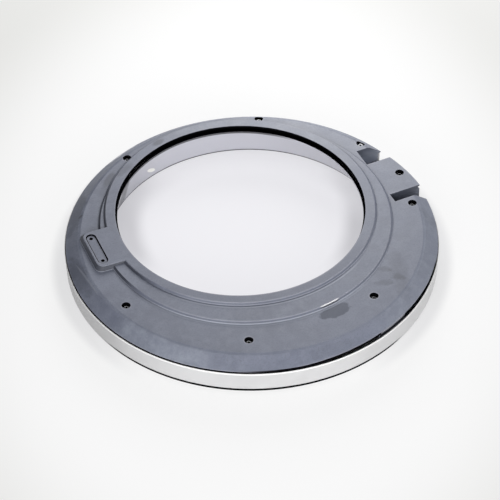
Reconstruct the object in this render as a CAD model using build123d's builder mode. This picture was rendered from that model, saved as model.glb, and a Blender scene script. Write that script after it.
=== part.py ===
from build123d import *
from math import hypot
import os

# Door frame of a front-loading washing machine, bare: no glass, hinge, latch hook or screws.
# It lies on its front face, so the back of the door is up. The origin is the centre of the outer
# circle on the table, X runs from the latch to the hinge, and Y to the narrow side of the ring.

os.makedirs("parts", exist_ok=True)

# Front frame: outer wall and face
outer_radius = 230.0
rim_height = 30.5
wall_draft = 1.0
front_ease = 3.0
front_wall = 2.5
rim_edge = 0.8
rebate_depth = 1.2

# Front frame: opening at the front, and the lip at the top of the cone that carries the glass
front_opening_radius = 176.5
front_opening_x = 5.0
front_opening_y = 23.5
opening_ease = 1.0
glass_offset = 36.5
seat_radius = 152.0
seat_land = 2.5
seat_height = 44.0
glass_gap = 5.5

# Back frame: shell with a bevelled edge, a middle step and a rim step, on three centres
back_wall = 2.5
bevel_width = 16.9
bevel_ease = 2.0
opening_radius = 154.3
rim_radius = 166.0
rim_run = 5.5
rim_rise = 3.0
middle_offset = 19.5
middle_radius = 178.5
middle_run = 3.0
middle_rise = 3.0

# Back frame: skirt behind the groove of the glass
groove_width = 11.6
skirt_wall = 2.2
skirt_clear = 2.0

# Seam: a thin edge lip in a rebate of the front frame's wall, over a spigot that stands inside it
seam_gap = 0.6
seam_reveal = 2.0
edge_lip = 1.5
edge_undercut = 3.9
spigot_depth = 8.0

# Seam: place where the edge stands back, with two windows in the spigot beside a snap hook
relief_angle = -70.0
relief_radius = 240.0
relief_depth = 2.5
seam_windows = [(-88, -70), (-59, -45)]

# Screws that hold the frames together: angle round the outer circle and distance in from its edge
screw_places = [(65, 21), (117, 23), (198.5, 32), (246.5, 41), (299, 43.5), (350.9, 25.5), (26.7, 18.5)]
well_radius = 5.4
well_depth = 7.0
well_floor = 3.0
well_wall = 2.0
post_radius = 3.0
post_drop = 4.0
screw_hole_radius = 1.6
pilot_radius = 1.3
boss_radius = 4.2
post_sides = 16
hole_sides = 12
boss_sides = 8
pilot_sides = 6

# Latch platform: a raised pad with a recess for the hook's plate, grooved round its floor
latch_reach = 196.5
latch_length = 63.0
latch_corner = 9.0
latch_draft = 4.0
recess_inset = 8.5
recess_length = 55.0
recess_width = 13.0
recess_depth = 1.6
recess_groove = 1.0
recess_groove_depth = 1.2
latch_hole_spacing = 41.5
latch_hole_radius = 2.0
latch_boss_wall = 2.5

# Hinge: a block between two notches that are open to the outside, its face on a centre of its own
hinge_angle = 3.0
hinge_shift = 13.8
hinge_land = 10.5
block_width = 62.0
block_inset = 6.2
block_swing = 33.0
slot_height = 4.0
slot_depth = 2.0
block_lip = 2.2
far_notch = 28.2
near_notch = 14.3
pocket_floor = 16.0
pocket_play = 0.5
hinge_screw_inset = 11.9

# Heights and radii that follow from the lip and the seam
rim_top = seat_height + glass_gap + back_wall
middle_top = rim_top - rim_rise
band_top = middle_top - middle_rise
cone_top = seat_height - seat_land
cone_spread = front_opening_radius - seat_radius + hypot(front_opening_x, glass_offset - front_opening_y)
joint_height = band_top - well_depth - well_floor
seam_height = rim_height + seam_reveal
edge_bottom = seam_height - edge_lip
edge_radius = outer_radius - rim_edge - seam_gap
spigot_radius = edge_radius - edge_undercut
spigot_bottom = rim_height - spigot_depth
bevel_slope = (band_top - seam_height) / bevel_width
skirt_radius = seat_radius + groove_width
skirt_bottom = cone_top * (1 - (groove_width - front_wall - skirt_clear) / cone_spread)
tower_radius = well_radius + well_wall
latch_boss_radius = latch_hole_radius + latch_boss_wall
recess_x = -latch_reach + recess_inset
hinge_inner = rim_radius + rim_run + hinge_land
block_radius = outer_radius - block_inset
far_side = block_width / 2 + far_notch
near_side = block_width / 2 + near_notch
reach = outer_radius * 1.2
hinge_along = Vector(1, 0).rotate(Axis.Z, hinge_angle)
hinge_centre = Vector(0, hinge_shift).rotate(Axis.Z, hinge_angle)
hinge_plane = Plane(hinge_centre, x_dir=hinge_along, z_dir=(0, 0, 1))
relief_plane = Plane.XY.rotated((0, 0, relief_angle))
screw_points = [Vector(outer_radius - inset, 0).rotate(Axis.Z, angle) for angle, inset in screw_places]
screw_points.append(hinge_centre + hinge_along * (block_radius - hinge_screw_inset))
screw_points = [(point.X, point.Y) for point in screw_points]
latch_points = [(recess_x, glass_offset + side * latch_hole_spacing / 2) for side in (-1, 1)]


# Front frame: a shallow cup with a drafted wall, a rebate at its top and a front edge eased in two flats
with BuildPart() as outer_frame:
    with BuildSketch(Plane.XZ):
        with BuildLine():
            Polyline(
                (0, 0),
                (outer_radius - wall_draft - front_ease, 0),
                (outer_radius - wall_draft - 0.3 * front_ease, 0.3 * front_ease),
                (outer_radius - wall_draft + wall_draft * front_ease / rim_height, front_ease),
                (outer_radius, rim_height),
                (outer_radius - rim_edge, rim_height),
                (outer_radius - rim_edge, rim_height - rebate_depth),
                (outer_radius - front_wall, rim_height - rebate_depth),
                (outer_radius - wall_draft - front_wall, front_wall),
                (0, front_wall),
                close=True,
            )
        make_face()
    revolve(axis=Axis.Z)

    # Oblique cone from the front opening up to the lip that the glass lies on
    with BuildSketch(Plane.XY):
        with Locations((front_opening_x, front_opening_y)):
            Circle(front_opening_radius + front_wall)
    with BuildSketch(Plane.XY.offset(cone_top)):
        with Locations((0, glass_offset)):
            Circle(seat_radius + front_wall)
    loft(ruled=True)
    with BuildSketch(Plane.XY.offset(cone_top)):
        with Locations((0, glass_offset)):
            Circle(seat_radius + front_wall)
    extrude(amount=seat_land)

    # Eight-sided bosses with thread-forming core holes, which carry the screw towers of the back frame
    with BuildSketch(Plane.XY.offset(front_wall)):
        with Locations(*screw_points):
            RegularPolygon(boss_radius, boss_sides)
    extrude(amount=joint_height - front_wall)
    with BuildSketch(Plane.XY.offset(front_wall)):
        with Locations(*screw_points):
            RegularPolygon(pilot_radius, pilot_sides)
    extrude(amount=joint_height - front_wall, mode=Mode.SUBTRACT)

    # The cone's inside, open from front to back, with an eased foot
    with BuildSketch(Plane.XY):
        with Locations((front_opening_x, front_opening_y)):
            Circle(front_opening_radius)
    with BuildSketch(Plane.XY.offset(cone_top)):
        with Locations((0, glass_offset)):
            Circle(seat_radius)
    loft(ruled=True, mode=Mode.SUBTRACT)
    with BuildSketch(Plane.XY.offset(cone_top)):
        with Locations((0, glass_offset)):
            Circle(seat_radius)
    extrude(amount=seat_land, mode=Mode.SUBTRACT)
    foot_edge = outer_frame.edges().filter_by(GeomType.CIRCLE).group_by(Axis.Z)[0].sort_by(SortBy.RADIUS)[0]
    chamfer(foot_edge, opening_ease)

    # Gap in the wall for the hinge pocket
    with BuildSketch(hinge_plane.offset(pocket_floor - pocket_play)):
        Circle(reach)
        with Locations((0, -hinge_shift)):
            Circle(outer_radius - wall_draft - front_wall, mode=Mode.SUBTRACT)
        with Locations((0, (far_side - near_side) / 2)):
            Rectangle(reach, far_side + near_side + 2 * back_wall + 2 * pocket_play,
                      align=(Align.MIN, Align.CENTER), mode=Mode.INTERSECT)
    extrude(amount=rim_height, mode=Mode.SUBTRACT)

outer_frame.part.label = "outer_frame"
export_step(outer_frame.part, "parts/outer_frame.step")


# Closed form of the back frame from a lower plane up; with an inset it is the hollow of the shell
def back_form(inset, bottom):
    lip = [(spigot_radius, edge_bottom), (edge_radius, edge_bottom), (edge_radius, seam_height)]
    if inset:
        lip = [(spigot_radius, seam_height + edge_undercut * bevel_slope)]
    with BuildPart() as form:
        with BuildSketch(Plane.XZ) as body_section:
            with BuildLine():
                Polyline(
                    (0, bottom - inset),
                    (spigot_radius, bottom - inset),
                    *lip,
                    (edge_radius - bevel_width, band_top),
                    (0, band_top),
                    close=True,
                )
            make_face()
            if inset:
                offset(amount=-inset, kind=Kind.INTERSECTION)
            else:
                bevel_corner = body_section.vertices().group_by(Axis.Y)[-1].sort_by(Axis.X)[-1]
                chamfer(bevel_corner, bevel_ease)
        revolve(axis=Axis.Z)
        with Locations((0, middle_offset, band_top - inset)):
            Cone(middle_radius + middle_run - inset, middle_radius - inset, middle_rise,
                 align=(Align.CENTER, Align.CENTER, Align.MIN))
        with Locations((0, glass_offset, band_top - inset)):
            Cone(rim_radius + rim_run - inset, rim_radius - inset, middle_rise + rim_rise,
                 align=(Align.CENTER, Align.CENTER, Align.MIN))
        for height, grow in ((band_top, latch_draft), (rim_top, 0)):
            with BuildSketch(Plane.XY.offset(height - inset)):
                with Locations((-latch_reach / 2, glass_offset)):
                    RectangleRounded(latch_reach + 2 * grow - 2 * inset, latch_length + 2 * grow - 2 * inset,
                                     latch_corner)
        loft(ruled=True)
    return form.part


back_outside = back_form(0, spigot_bottom)
back_inside = back_form(back_wall, spigot_bottom - back_wall)
pocket_outside = back_form(0, pocket_floor)

# Hinge pocket: side walls, inner wall and floor round the notches, with the block between them
with BuildPart() as hinge_pocket:
    with BuildSketch(hinge_plane.offset(pocket_floor)):
        with Locations((hinge_inner - back_wall, (far_side - near_side) / 2)):
            Rectangle(reach, far_side + near_side + 2 * back_wall, align=(Align.MIN, Align.CENTER))
    extrude(amount=rim_top)
    add(pocket_outside, mode=Mode.INTERSECT)
    with BuildSketch(hinge_plane.offset(pocket_floor + back_wall)):
        with Locations((hinge_inner, (far_side - near_side) / 2)):
            Rectangle(reach, far_side + near_side, align=(Align.MIN, Align.CENTER))
    extrude(amount=rim_top, mode=Mode.SUBTRACT)
    with BuildSketch(hinge_plane.offset(pocket_floor)):
        with Locations((hinge_inner, 0)):
            Rectangle(reach, block_width, align=(Align.MIN, Align.CENTER))
    extrude(amount=rim_top, mode=Mode.SUBTRACT)

    # Block with a slot round its outer face, hollow from below, and its screw tower
    with BuildSketch(hinge_plane.offset(pocket_floor)):
        with Locations((0, -block_swing)):
            Circle(block_radius)
        with Locations((hinge_inner - back_wall, 0)):
            Rectangle(reach, block_width, align=(Align.MIN, Align.CENTER), mode=Mode.INTERSECT)
    extrude(amount=band_top - pocket_floor)
    with BuildSketch(hinge_plane.offset(band_top - block_lip)):
        with Locations((0, -block_swing)):
            Circle(block_radius)
            Circle(block_radius - slot_depth, mode=Mode.SUBTRACT)
        with Locations((hinge_inner, 0)):
            Rectangle(reach, block_width, align=(Align.MIN, Align.CENTER), mode=Mode.INTERSECT)
    extrude(amount=-slot_height, mode=Mode.SUBTRACT)
    with BuildSketch(hinge_plane.offset(pocket_floor)):
        with Locations((0, -block_swing)):
            Circle(block_radius - slot_depth - back_wall)
        with Locations((hinge_inner, 0)):
            Rectangle(reach, block_width - 2 * back_wall, align=(Align.MIN, Align.CENTER), mode=Mode.INTERSECT)
    extrude(amount=band_top - back_wall - pocket_floor, mode=Mode.SUBTRACT)
    with BuildSketch(Plane.XY.offset(joint_height)):
        with Locations(screw_points[-1]):
            RegularPolygon(tower_radius, boss_sides, major_radius=False)
    extrude(amount=band_top - joint_height)

# Inside of the shell: screw towers and the thick pad below the latch recess, with its two bosses
with BuildPart() as supports:
    with BuildSketch(Plane.XY.offset(joint_height)):
        with Locations(*screw_points[:-1]):
            RegularPolygon(tower_radius, boss_sides, major_radius=False)
        with Locations(*latch_points):
            RegularPolygon(latch_boss_radius, boss_sides, major_radius=False)
    extrude(amount=rim_top - joint_height)
    with BuildSketch(Plane.XY.offset(rim_top - recess_depth - recess_groove_depth - back_wall)):
        with Locations((recess_x, glass_offset)):
            SlotOverall(recess_length + 2 * back_wall, recess_width + 2 * back_wall, rotation=90)
    extrude(amount=recess_depth + recess_groove_depth + back_wall)
    add(back_outside, mode=Mode.INTERSECT)

# Back frame: the shell with its skirt behind the groove, the supports and the hinge pocket
with BuildPart() as inner_frame:
    add(back_outside)
    add(back_inside, mode=Mode.SUBTRACT)
    with BuildSketch(Plane.XY.offset(skirt_bottom)):
        with Locations((0, glass_offset)):
            Circle(skirt_radius + skirt_wall)
            Circle(skirt_radius, mode=Mode.SUBTRACT)
    extrude(amount=rim_top - back_wall - skirt_bottom)
    add(supports.part)
    with BuildSketch(hinge_plane):
        with Locations((hinge_inner - back_wall, (far_side - near_side) / 2)):
            Rectangle(reach, far_side + near_side + 2 * back_wall, align=(Align.MIN, Align.CENTER))
    extrude(amount=2 * rim_top, mode=Mode.SUBTRACT)
    add(hinge_pocket.part)

    # Opening for the glass
    with BuildSketch(Plane.XY):
        with Locations((0, glass_offset)):
            Circle(opening_radius)
    extrude(amount=2 * rim_top, mode=Mode.SUBTRACT)

    # Screw wells, each with a post on its floor that the screw's head sits on
    with BuildSketch(Plane.XY.offset(band_top - well_depth)):
        with Locations(*screw_points):
            Circle(well_radius)
        with Locations(*screw_points):
            RegularPolygon(post_radius, post_sides, mode=Mode.SUBTRACT)
    extrude(amount=well_depth - post_drop, mode=Mode.SUBTRACT)
    with BuildSketch(Plane.XY.offset(band_top - post_drop)):
        with Locations(*screw_points):
            Circle(well_radius)
    extrude(amount=rim_top, mode=Mode.SUBTRACT)
    with BuildSketch(Plane.XY.offset(joint_height)):
        with Locations(*screw_points):
            RegularPolygon(screw_hole_radius, hole_sides)
    extrude(amount=rim_top, mode=Mode.SUBTRACT)

    # Recess of the latch hook, the groove round its floor and its two holes
    with BuildSketch(Plane.XY.offset(rim_top)):
        with Locations((recess_x, glass_offset)):
            SlotOverall(recess_length, recess_width, rotation=90)
    extrude(amount=-recess_depth, mode=Mode.SUBTRACT)
    with BuildSketch(Plane.XY.offset(rim_top - recess_depth)):
        with Locations((recess_x, glass_offset)):
            SlotOverall(recess_length, recess_width, rotation=90)
            SlotOverall(recess_length - 2 * recess_groove, recess_width - 2 * recess_groove, rotation=90,
                        mode=Mode.SUBTRACT)
    extrude(amount=-recess_groove_depth, mode=Mode.SUBTRACT)
    with BuildSketch(Plane.XY.offset(joint_height)):
        with Locations(*latch_points):
            Circle(latch_hole_radius)
    extrude(amount=rim_top, mode=Mode.SUBTRACT)

    # Edge that stands back from the seam, and the windows in the spigot beside the hook
    with BuildSketch(relief_plane.offset(edge_bottom)):
        Circle(reach)
        with Locations((edge_radius - relief_depth - relief_radius, 0)):
            Circle(relief_radius, mode=Mode.SUBTRACT)
    extrude(amount=rim_top, mode=Mode.SUBTRACT)
    for start, end in seam_windows:
        with BuildSketch(Plane.XY.offset(spigot_bottom)):
            with BuildLine():
                start_point = Vector(2 * reach, 0).rotate(Axis.Z, start)
                end_point = Vector(2 * reach, 0).rotate(Axis.Z, end)
                Polyline((0, 0), (start_point.X, start_point.Y), (end_point.X, end_point.Y), close=True)
            make_face()
            Circle(spigot_radius - 2 * back_wall, mode=Mode.SUBTRACT)
        extrude(amount=edge_bottom - spigot_bottom, mode=Mode.SUBTRACT)

inner_frame.part.label = "inner_frame"
export_step(inner_frame.part, "parts/inner_frame.step")
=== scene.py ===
import math

import bpy
from mathutils import Matrix, Vector

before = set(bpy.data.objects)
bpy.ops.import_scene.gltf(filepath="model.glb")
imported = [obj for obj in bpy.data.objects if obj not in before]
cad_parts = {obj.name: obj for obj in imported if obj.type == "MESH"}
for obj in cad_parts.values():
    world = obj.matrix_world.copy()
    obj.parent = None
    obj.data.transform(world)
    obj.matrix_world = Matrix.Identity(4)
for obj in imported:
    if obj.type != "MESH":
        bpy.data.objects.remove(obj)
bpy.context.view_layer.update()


# Front frame of the door: one moulding in light silver-grey plastic with a smooth satin skin.
# It lies face down, so its outer wall, the edge of its rebate with a painted highlight, and the cone are
# seen.
# Handling has left cloudy wipe marks and scuffs; shade is painted black into the rebate, on the lip and along
# the foot.

class Socket:
    """A value in a material's node tree; arithmetic on it adds Math nodes."""

    def __init__(self, tree, output):
        self.tree = tree
        self.output = output

    def node(self, kind, settings=None, output=0, **inputs):
        """Any node: its settings first, then its inputs by name, or by place as i0, i1 and so on."""
        made = self.tree.nodes.new(kind)
        for name, value in (settings or {}).items():
            setattr(made, name, value)
        for name, value in inputs.items():
            if name[0] == "i" and name[1:].isdigit():
                slot = made.inputs[int(name[1:])]
            else:
                slot = made.inputs[name.replace("_", " ").title()]
            if isinstance(value, Socket):
                self.tree.links.new(value.output, slot)
            else:
                slot.default_value = value
        return Socket(self.tree, made.outputs[output])

    def math(self, operation, first, second=0.0):
        return self.node("ShaderNodeMath", {"operation": operation}, i0=first, i1=second)

    def __add__(self, other):
        return self.math("ADD", self, other)

    def __sub__(self, other):
        return self.math("SUBTRACT", self, other)

    def __rsub__(self, other):
        return self.math("SUBTRACT", other, self)

    def __mul__(self, other):
        return self.math("MULTIPLY", self, other)

    def __truediv__(self, other):
        return self.math("DIVIDE", self, other)

    def __pow__(self, power):
        return self.math("POWER", self, power)

    def __abs__(self):
        return self.math("ABSOLUTE", self)

    __radd__ = __add__
    __rmul__ = __mul__

    def ease(self, low, high):
        """0 at low, 1 at high, and an even curve between."""
        return self.node("ShaderNodeMapRange", {"interpolation_type": "SMOOTHSTEP"},
                         i0=self, i1=low, i2=high)

    def between(self, low, full, still, high):
        """1 from full to still, and easing to 0 at low and at high."""
        return self.ease(low, full) * self.ease(high, still)

    def blend(self, first, second):
        """From the first colour to the second as this value goes from 0 to 1."""
        return self.node("ShaderNodeMix", {"data_type": "RGBA"}, output=2, i0=self, i6=first, i7=second)


def finish_for(name):
    """A new material, a start for its node tree, and its shader."""
    finish = bpy.data.materials.new(name)
    finish.use_nodes = True
    return finish, Socket(finish.node_tree, None), finish.node_tree.nodes["Principled BSDF"]


def feed(shader, name, value):
    shader.id_data.links.new(value.output, shader.inputs[name])


def where(start):
    """Place on the part in metres, the same along each axis in mm, and how far the surface faces up."""
    place = start.node("ShaderNodeTexCoord", output=3)
    along = [start.node("ShaderNodeSeparateXYZ", output=axis, i0=place) * 1000.0 for axis in range(3)]
    facing = start.node("ShaderNodeNewGeometry", output=1)
    return place, *along, start.node("ShaderNodeSeparateXYZ", output=2, i0=facing)


def radius(x, y, centre=0.0):
    """Distance in mm from an upright axis on the line of symmetry."""
    return (x * x + (y - centre) * (y - centre)) ** 0.5


def bearing(start, x, y):
    """Angle round the outer circle in degrees: 0 on the hinge side, -90 at the wide side of the ring."""
    return start.math("ARCTAN2", y, x) * math.degrees(1.0)


def oval(first, first_half, second, second_half):
    """Below 1 inside an oval with these half sizes."""
    return (first / first_half) ** 2.0 + (second / second_half) ** 2.0


def cloud(start, place, scale, detail=3.0, roughness=0.55):
    return start.node("ShaderNodeTexNoise", vector=place, scale=scale, detail=detail, roughness=roughness)


def closeness(start, reach, inside=False):
    """Toward 1 in corners within this reach in metres, or with inside along outer edges; 0 on flats."""
    free = start.node("ShaderNodeAmbientOcclusion", {"samples": 8, "inside": inside}, output=1, i1=reach)
    return 1.0 - free


def shade(start, shader, mask):
    """Paints shade: takes the surface to dull black by a mask, in gaps and hollows that no light reaches."""
    black = start.node("ShaderNodeBsdfDiffuse", color=(0.004, 0.004, 0.005, 1))
    mixed = start.node("ShaderNodeMixShader", i0=mask, i1=Socket(start.tree, shader.outputs[0]), i2=black)
    start.tree.links.new(mixed.output, start.tree.nodes["Material Output"].inputs["Surface"])


def moulded_skin(start, shader, height, strength, depth, edge_radius=0.0006):
    """A fine bump all over, and sharp edges eased as they leave the mould; both lengths in metres."""
    eased = start.node("ShaderNodeBevel", {"samples": 6}, i0=edge_radius)
    bump = start.node("ShaderNodeBump", height=height, strength=strength, distance=depth, normal=eased)
    feed(shader, "Normal", bump)


def dress(node_name, finish):
    """Gives a frame its finish through its material slot."""
    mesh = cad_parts[node_name].data
    mesh.materials.clear()
    mesh.materials.append(finish)


satin_silver, start, shader = finish_for("satin_silver")
place, x, y, z, up = where(start)
flat = up.ease(0.6, 0.9)
from_centre = radius(x, y)
turn = bearing(start, x, y)

# The satin skin, with wipe marks, scuffs, and painted highlights along the outer edges
silver = (0.58, 0.58, 0.586, 1)
wiped_silver = (0.63, 0.63, 0.635, 1)
scuffed_silver = (0.45, 0.45, 0.46, 1)
highlight_silver = (0.90, 0.90, 0.89, 1)
wipes = cloud(start, place, 16.0, 4.0).ease(0.38, 0.68)
scuff = cloud(start, place, 75.0, 6.0, 0.7).ease(0.62, 0.8)
edge_highlight = closeness(start, 0.0009, inside=True).ease(0.12, 0.40)
tone = wipes.blend(silver, wiped_silver)
tone = (scuff * 0.12).blend(tone, scuffed_silver)
tone = (edge_highlight * 0.7).blend(tone, highlight_silver)

# The cone inside, cooler in tone, with painted shade on its latch side and on the outer wall there
cone_across, cone_along, cone_reach = 3.0, 29.0, 180.0
cool_silver = (0.60, 0.60, 0.70, 1)
cone_painted_shade = (0.34, 0.34, 0.39, 1)
wall_painted_shade = (0.33, 0.33, 0.335, 1)
cone = radius(x - cone_across, y, cone_along).ease(cone_reach + 2.0, cone_reach - 2.0)
wall_turned_away = (1.0 - cone) * x.ease(-185.0, -222.0) * y.ease(-130.0, -70.0)
tone = (cone * 0.6).blend(tone, cool_silver)
tone = (cone * x.ease(-30.0, -140.0) * 0.4).blend(tone, cone_painted_shade)
tone = (wall_turned_away * 0.45).blend(tone, wall_painted_shade)

# A painted highlight along the top edge of the outer wall, beside the seam
wall_inside = 229.0
wall_highlight_white = (0.95, 0.95, 0.95, 1)
wall_top_highlight = from_centre.ease(wall_inside - 0.1, wall_inside + 0.1) * z.ease(27.6, 28.6)
tone = (wall_top_highlight * 0.85).blend(tone, wall_highlight_white)

# A pale mark on the cone, and a dark mottled patch in its corner on the latch side
mark_x, mark_height, mark_slant = -63.5, 16.8, 0.7
corner_x, corner_y = -117.0, 141.0
mark_white = (1.0, 0.99, 0.94, 1)
corner_dark_grey = (0.07, 0.07, 0.085, 1)
from_mark = x - mark_x
mark = oval(from_mark, 7.0, z - mark_height + mark_slant * from_mark, 4.4).ease(1.2, 0.6)
tone = (mark * cone * y.ease(120.0, 150.0)).blend(tone, mark_white)
corner_mottle = cloud(start, place, 110.0, 5.0, 0.7).ease(0.30, 0.62)
corner = oval(x - corner_x, 13.0, y - corner_y, 20.0).ease(1.3, 0.3)
tone = (corner * (0.60 + 0.4 * corner_mottle)).blend(tone, corner_dark_grey)

# Painted shade in corners, and the grey strip of the snap hook between its two windows of painted shade in
# the rebate
corner_shade = (0.08, 0.08, 0.085, 1)
hook_grey = (0.26, 0.265, 0.30, 1)
rebate = flat * z.between(27.0, 28.0, 29.7, 30.1)
hook = turn.between(-70.0, -69.4, -59.0, -58.4) * from_centre.ease(228.5, 228.2)
tone = (closeness(start, 0.010).ease(0.30, 0.85) * 0.8).blend(tone, corner_shade)
tone = (rebate * hook).blend(tone, hook_grey)

# Painted shade, in black: on the lip of the glass seat, in the rebate, and along the foot of the wall and of
# the cone
shade_black = (0.006, 0.006, 0.007, 1)
lip = flat * z.ease(40.0, 42.0)
lip_face = cone * z.ease(41.0, 41.8) * (1.0 - flat) * y.ease(130.0, 165.0) * 0.55
wall_foot = z.ease(5.6, 5.0) * from_centre.ease(222.0, 224.0) * y.ease(-60.0, -110.0) * x.ease(115.0, 85.0)
cone_foot = cone * z.ease(2.8, 2.0) * y.ease(40.0, 90.0) * 0.9
dark = lip + rebate * (1.0 - hook) + wall_foot + cone_foot + lip_face

feed(shader, "Base Color", dark.blend(tone, shade_black))
feed(shader, "Roughness", 0.33 + 0.10 * wipes + 0.12 * scuff)
shader.inputs["Coat Weight"].default_value = 0.15
shader.inputs["Coat Roughness"].default_value = 0.12
shade(start, shader, dark)
moulded_skin(start, shader, cloud(start, place, 2200.0, 2.0), 0.06, 0.0002)
dress("outer_frame", satin_silver)


# Back frame of the door: one moulding in dark blue-grey plastic with a fine matte grain.
# It carries the stepped ring, the latch platform and the hinge block, and is screwed to the front frame.
# Use has left a damp-looking blot, streaks on the hinge side and dull patches on the bevel; shade and
# highlights are painted into gaps, hollows, creases, steps and edges.

glass_centre = 36.5
middle_centre = 19.5
band_top = 46.0
rim_top = 52.0
step_rise = 3.0

matte_grey, start, shader = finish_for("matte_grey")
place, x, y, z, up = where(start)
side = up.ease(0.5, 0.25)
near = y.ease(-40.0, -110.0)
below_rim = z.ease(rim_top - 0.1, rim_top - 0.5)
from_centre = radius(x, y)
from_glass = radius(x, y, glass_centre)
from_middle = radius(x, y, middle_centre)
turn = bearing(start, x, y)
warp = cloud(start, place, 80.0, 5.0, 0.68) - 0.5

# The matte skin: broad mottling, wipe marks and fine specks
slate = (0.166, 0.181, 0.237, 1)
light_slate = (0.212, 0.230, 0.296, 1)
wiped_slate = (0.250, 0.272, 0.342, 1)
speck_slate = (0.120, 0.132, 0.172, 1)
mottle = cloud(start, place, 14.0, 5.0, 0.65).ease(0.34, 0.66)
wiped = cloud(start, place, 70.0, 5.0, 0.7).ease(0.38, 0.68)
speck = cloud(start, place, 520.0, 3.0, 0.7).ease(0.45, 0.70)
tone = mottle.blend(slate, light_slate)
tone = (wiped * 0.50).blend(tone, wiped_slate)
tone = (speck * 0.40).blend(tone, speck_slate)


def blot(across, along, long, wide, angle, soft, ragged):
    """An oval mark: its centre and half sizes in mm, its angle in degrees, and how soft and ragged it is."""
    c, s = math.cos(math.radians(angle)), math.sin(math.radians(angle))
    length = ((x - across) * c + (y - along) * s) / long
    width = ((y - along) * c - (x - across) * s) / wide
    return (length * length + width * width + warp * ragged).ease(1.0, 1.0 - soft)


# The damp-looking blot on the near band, then duller stains; the last number of a stain is its strength
damp_slate = (0.060, 0.072, 0.104, 1)
stain_slate = (0.075, 0.082, 0.105, 1)
streaks_by_hinge = [
    (134, -140, 14, 48, -14, 0.9, 2.6, 0.6),
    (121, -127, 11, 6, -20, 0.9, 2.2, 1.0),
    (110, -147, 14, 7, -20, 0.9, 2.6, 1.0),
    (131, -145, 12, 8, -30, 0.9, 2.6, 1.0),
]
dull_patches = [
    (-186, 122, 46, 15, 62, 0.8, 3.2, 1.0),
    (-220, 10, 44, 11, 92, 0.8, 2.6, 1.0),
    (212, -58, 22, 8, 106, 0.9, 2.6, 0.6),
    (8, -219, 45, 8, 2, 0.9, 2.6, 0.5),
    (-129, 155, 18, 6, 46, 0.8, 1.8, 1.3),
]
smudges = [
    (-107, 159, 18, 8, 34, 0.8, 1.8, 1.0),
    (-49.6, 190, 11, 5.5, 15, 0.8, 1.4, 1.5),
    (-184.5, 105.6, 4, 2, 30, 0.5, 1.2, 1.0),
]
damp = blot(38, -169, 22, 11, 8, 0.35, 1.7)
stains = sum(blot(*stain[:-1]) * stain[-1] for stain in streaks_by_hinge + dull_patches + smudges)
tone = (damp * 0.68).blend(tone, damp_slate)
tone = (stains * 0.42).blend(tone, stain_slate)

# The near rim a little darker with painted shade; creases darker with painted shade, with a painted highlight
# line there on the near side instead; painted highlights along outer edges
near_rim_shade = (0.105, 0.112, 0.155, 1)
crease_shade = (0.045, 0.048, 0.062, 1)
crease_highlight = (0.26, 0.27, 0.33, 1)
highlight_slate = (0.32, 0.33, 0.39, 1)
scraped_slate = (0.36, 0.38, 0.44, 1)
crease = closeness(start, 0.0022).ease(0.03, 0.20)
edge_highlight = closeness(start, 0.0018, inside=True).ease(0.02, 0.10)
scrape = blot(-214.5, -1, 38, 1.2, 95, 0.6, 0.4) * 0.35
tone = (near * z.ease(rim_top - 0.6, rim_top - 0.2) * 0.22).blend(tone, near_rim_shade)
tone = (crease * 0.5).blend(tone, near.blend(crease_shade, crease_highlight))
tone = (edge_highlight * (0.25 + 0.35 * near)).blend(tone, highlight_slate)
tone = scrape.blend(tone, scraped_slate)

# The sloped sides of the latch platform: painted shade, with a painted highlight along the top and the foot
platform_shade = (0.052, 0.057, 0.076, 1)
platform_highlight = (0.34, 0.36, 0.43, 1)
slope = up.ease(0.985, 0.93) * z.ease(band_top - 0.1, band_top + 0.1)
platform_side = slope * x.ease(-120.0, -150.0) * y.ease(-60.0, -20.0) * below_rim
platform_edges = platform_side * (z.ease(51.0, 51.4) + z.ease(46.9, 46.5))
tone = (platform_side * 0.92).blend(tone, platform_shade)
tone = (platform_edges * 0.6).blend(tone, platform_highlight)

# The two near steps: painted highlights along the top and the foot, painted shade between, and painted light
# lifting the shadow at and below their feet
step_highlight = (0.40, 0.42, 0.49, 1)
step_shade = (0.10, 0.108, 0.14, 1)
foot_painted_light = (0.46, 0.49, 0.57, 1)
shadow_lifted_slate = (0.36, 0.39, 0.47, 1)
from_half_rise = abs(start.math("FRACT", (z - band_top) / step_rise) - 0.5)
tone = (slope * near * from_half_rise.ease(0.20, 0.34) * 0.5).blend(tone, step_highlight)
tone = (slope * near * from_half_rise.ease(0.30, 0.12) * 0.4).blend(tone, step_shade)
front_side = near * x.ease(115.0, 60.0)
rim_foot = from_glass.between(170.3, 170.9, 172.2, 172.9)
middle_foot = from_middle.between(180.6, 181.1, 182.4, 183.0)
below_middle = from_middle.between(182.4, 183.0, 184.6, 185.4)
tone = (front_side * (rim_foot + middle_foot) * 0.7).blend(tone, foot_painted_light)
tone = (front_side * below_middle * 0.6).blend(tone, shadow_lifted_slate)

# A painted highlight on the middle step's top edge, with a line of painted shade under it
step_highlight_white = (0.95, 0.95, 0.97, 1)
step_shade_line = (0.02, 0.02, 0.025, 1)
highlight_stretch = x.between(21.0, 27.0, 44.0, 51.0) * y.ease(-100.0, -120.0)
tone = (highlight_stretch * from_middle.between(178.2, 178.5, 179.3, 179.7) * 0.9).blend(tone, step_highlight_white)
tone = (highlight_stretch * from_middle.between(179.6, 179.9, 180.6, 180.9) * 0.85).blend(tone, step_shade_line)

# The eased top of the bevel, a little lighter toward the near side: a painted highlight
brow_highlight_slate = (0.33, 0.355, 0.43, 1)
brow_highlight = up.ease(0.995, 0.985) * up.ease(0.89, 0.915) * y.ease(40.0, -20.0)
tone = (brow_highlight * 0.2).blend(tone, brow_highlight_slate)
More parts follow.
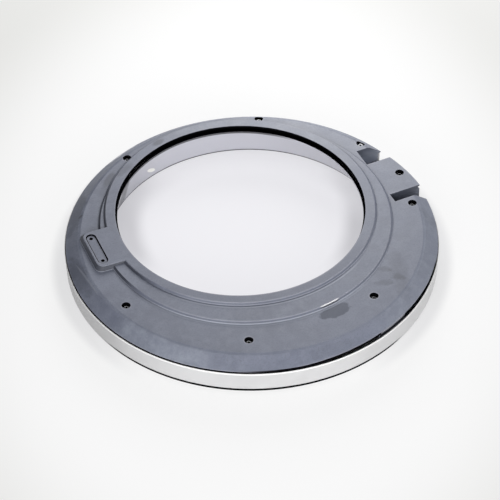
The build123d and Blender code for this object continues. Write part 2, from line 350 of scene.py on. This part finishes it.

# Painted shade in hollows, half as strong on the far side, and painted shade and light on the walls of the
# two hinge notches
hollow_shade_black = (0.012, 0.012, 0.016, 1)
near_notch_shade_top = (0.046, 0.052, 0.070, 1)
near_notch_shade_low = (0.125, 0.138, 0.178, 1)
far_notch_shade_top = (0.072, 0.080, 0.104, 1)
far_notch_lit_low = (0.37, 0.40, 0.47, 1)
deep_shade = closeness(start, 0.010).ease(0.38, 0.88) * y.ease(70.0, 40.0).ease(-1.0, 1.0)
notch_wall = side * x.ease(165.0, 170.0) * z.ease(band_top - 0.1, band_top - 0.5)
near_notch = notch_wall * y.between(-48.0, -38.0, 20.0, 30.0)
far_notch = notch_wall * y.between(50.0, 60.0, 96.0, 104.0)
tone = (deep_shade * 0.92).blend(tone, hollow_shade_black)
tone = (near_notch * 0.9).blend(tone, z.ease(43.5, 33.0).blend(near_notch_shade_top, near_notch_shade_low))
tone = (far_notch * 0.9).blend(tone, z.ease(45.0, 26.0).blend(far_notch_shade_top, far_notch_lit_low))

# The screw wells, black with painted shade, each with a pale post: distance from the centre and bearing, the
# last on the hinge block
post_white = (0.92, 0.93, 0.96, 1)
well_places = [(209, 65), (207, 117), (198, 198.5), (189, 246.5), (186.5, 299), (204.5, 350.9),
               (211.5, 26.7), (212.35, 6.73)]
flat_place = start.node("ShaderNodeCombineXYZ", i0=x, i1=y)
from_well = None
for distance, angle in well_places:
    spot = (distance * math.cos(math.radians(angle)), distance * math.sin(math.radians(angle)), 0.0)
    gap = start.node("ShaderNodeVectorMath", {"operation": "DISTANCE"}, output=1, i0=flat_place, i1=spot)
    from_well = gap if from_well is None else start.math("MINIMUM", from_well, gap)
well = from_well.ease(5.7, 5.4) * z.ease(45.8, 45.4)
post = from_well.ease(3.1, 2.9) * up.ease(0.6, 0.9) * z.between(41.4, 41.8, 42.5, 43.0)

# The groove of the glass, and the latch recess with its track and two holes, all black with painted shade
latch_x, latch_half, hole_offset = -188.0, 21.0, 20.75
glass_groove = from_glass.ease(164.9, 164.3) * below_rim
across = x - latch_x
from_latch = abs(y - glass_centre)
past_end = start.math("MAXIMUM", from_latch - latch_half, 0.0)
from_spine = (across * across + past_end * past_end) ** 0.5
track = from_spine.between(5.2, 5.5, 6.6, 6.9) * z.ease(47.0, 48.0) * below_rim
along = from_latch - hole_offset
latch_holes = ((across * across + along * along) ** 0.5).ease(2.5, 2.1)

# The seam: painted shade on its upright edge, and on the near side on its top edge too, but not on the hinge
# side; the strip of the snap hook is grey with a painted highlight along its top
strip_grey = (0.13, 0.135, 0.165, 1)
strip_highlight = (0.50, 0.51, 0.55, 1)
upright_edge = from_centre.ease(224.4, 225.0) * side * z.ease(36.5, 35.8)
top_edge = from_centre.ease(227.2, 227.8) * turn.between(-122.0, -100.0, 0.0, 20.0)
seam = (upright_edge + top_edge) * (1.0 - turn.between(-41.0, -28.0, 50.0, 70.0))
hook_strip = seam * turn.between(-70.3, -69.7, -59.3, -58.7) * z.between(31.4, 31.8, 34.0, 34.3)

# The bevel a little lighter in two stretches, and a painted highlight on the far edge
lighter_bevel_slate = (0.36, 0.39, 0.46, 1)
far_highlight_white = (0.72, 0.73, 0.76, 1)
lighter_stretches = turn.between(-162.0, -152.0, -131.0, -121.0) + turn.between(-75.0, -60.0, -15.0, -5.0) * 0.6
lighter_bevel = lighter_stretches * from_centre.ease(210.0, 213.0) * (0.25 + 0.25 * wiped)
far_edge_highlight = (from_centre + 10.0 * warp).ease(222.5, 225.5) * turn.between(107.5, 111.0, 118.5, 121.5)

# Painted shade: all gaps and hollows go black; the lighter stretches, the far highlight, posts and the strip
# of the snap hook lie over them
gap_shade_black = (0.005, 0.005, 0.007, 1)
dark = (well + glass_groove + track + latch_holes + seam * (1.0 - far_edge_highlight)).ease(0.0, 1.0)
dark = dark * (1.0 - post) * (1.0 - hook_strip)
tone = dark.blend(tone, gap_shade_black)
tone = (lighter_bevel * (1.0 - dark)).blend(tone, lighter_bevel_slate)
tone = (far_edge_highlight * 0.7).blend(tone, far_highlight_white)
tone = post.blend(tone, post_white)
tone = hook_strip.blend(tone, z.ease(33.2, 33.5).blend(strip_grey, strip_highlight))

feed(shader, "Base Color", tone)
feed(shader, "Roughness", 0.47 + 0.08 * mottle + 0.06 * damp)
shade(start, shader, dark)
moulded_skin(start, shader, cloud(start, place, 1500.0, 2.0), 0.14, 0.0003)
dress("inner_frame", matte_grey)


# Studio floor: a wide seamless sheet of pale paper that the frame lies on.
# It stays near white to the eye, with painted shade toward the corners, beside the wall and inside the
# opening, and keeps the frame's soft shadow.

floor_half = 6.0
floor_mesh = bpy.data.meshes.new("floor")
floor_mesh.from_pydata([(-floor_half, -floor_half, 0), (floor_half, -floor_half, 0),
                        (floor_half, floor_half, 0), (-floor_half, floor_half, 0)], [], [(0, 1, 2, 3)])
floor = bpy.data.objects.new("floor", floor_mesh)
bpy.context.scene.collection.objects.link(floor)
white_paper, start, shader = finish_for("white_paper")
shader.inputs["Base Color"].default_value = (0.86, 0.86, 0.865, 1)
shader.inputs["Roughness"].default_value = 0.8
x, y = where(start)[1:3]

# Across the picture and away from the camera, which is turned about the upright axis
turned_cos, turned_sin = 0.92, 0.37
across = turned_cos * x - turned_sin * y
away = turned_sin * x + turned_cos * y

# Outside the frame: white, with painted shade far off and a painted shadow close beside the wall
paper_white = (1.0, 1.0, 1.0, 1)
corner_shade_white = (0.79, 0.79, 0.77, 1)
beside_shadow_white = (0.80, 0.80, 0.81, 1)
beside_shadow = radius(x, y).ease(254.0, 238.0) * abs(across).ease(120.0, 200.0)
white = oval(across, 284.0, away, 400.0).ease(0.9, 2.6).blend(paper_white, corner_shade_white)
white = (beside_shadow * 0.85).blend(white, beside_shadow_white)

# Inside the opening: a painted pool of light with painted shade toward the cone, most on the latch and hinge
# sides
pool_white = (0.92, 0.915, 0.955, 1)
cone_shade_white = (0.66, 0.655, 0.69, 1)
side_shade_white = (0.63, 0.625, 0.66, 1)
ring = radius(x - 5.0, y, 23.5)
by_cone = ring.ease(135.0, 178.0) * (1.0 - 0.6 * away.ease(115.0, 160.0))
by_sides = oval(across + 11.0, 130.0, away - 75.0, 164.0).ease(0.80, 1.18)
by_sides = by_sides * away.ease(-40.0, 20.0) * (0.45 + 0.55 * away.ease(120.0, 50.0))
inside = by_sides.blend(by_cone.blend(pool_white, cone_shade_white), side_shade_white)
white = ring.ease(190.0, 180.0).blend(white, inside)

# The eye and glossy reflections see mostly this white, glowing with its painted light and shade; all other
# light meets plain paper
glow_share = 0.80
glow = start.node("ShaderNodeEmission", color=white)
seen = start.node("ShaderNodeLightPath", output=0) + start.node("ShaderNodeLightPath", output=3)
plain = Socket(start.tree, shader.outputs[0])
paper = start.node("ShaderNodeMixShader", i0=seen * glow_share, i1=plain, i2=glow)
start.tree.links.new(paper.output, start.tree.nodes["Material Output"].inputs["Surface"])
floor_mesh.materials.append(white_paper)


# Soft studio light: round lamps at the front left, the front and the right, and a small one behind.
# Places and sizes are in metres, and the room itself adds only a little light.

room_light = 0.04
world = bpy.data.worlds.new("studio")
bpy.context.scene.world = world
world.use_nodes = True
world.node_tree.nodes["Background"].inputs["Color"].default_value = (1, 1, 1, 1)
world.node_tree.nodes["Background"].inputs["Strength"].default_value = room_light


def soft_lamp(name, spot, aim, size, watts):
    lamp = bpy.data.lights.new(name, "AREA")
    lamp.shape = "DISK"
    lamp.size = size
    lamp.energy = watts
    holder = bpy.data.objects.new(name, lamp)
    holder.location = spot
    holder.rotation_mode = "QUATERNION"
    holder.rotation_quaternion = (Vector(aim) - Vector(spot)).to_track_quat("-Z", "Y")
    bpy.context.scene.collection.objects.link(holder)


soft_lamp("left_lamp", (-1.15, -1.35, 0.80), (0, 0, 0), 1.2, 23.0)
soft_lamp("front_lamp", (0.20, -1.80, 0.60), (0, 0, 0), 1.2, 12.5)
soft_lamp("right_lamp", (1.55, -0.45, 0.85), (0, 0, 0), 1.4, 8.5)
soft_lamp("back_lamp", (0.42, 0.82, 0.52), (0.10, 0.14, 0.04), 0.5, 8.6)


# Camera of the photo: a long lens that looks down at the back of the frame, latch on the left.
# Its place and turn were fitted to the round edges of the frame.

camera = bpy.data.objects.new("camera", bpy.data.cameras.new("camera"))
camera.data.sensor_width = 36.0
camera.data.lens = 187.2
camera.data.clip_end = 50.0
camera.location = (-0.8731, -2.1548, 2.2226)
swing, tilt, roll = (math.radians(angle) for angle in (-22.0, 46.444, -0.70))
camera.rotation_mode = "QUATERNION"
camera.rotation_quaternion = (Matrix.Rotation(swing, 3, "Z") @ Matrix.Rotation(tilt, 3, "X")
                              @ Matrix.Rotation(roll, 3, "Z")).to_quaternion()
bpy.context.scene.collection.objects.link(camera)
bpy.context.scene.camera = camera
bpy.context.scene.view_settings.view_transform = "Standard"
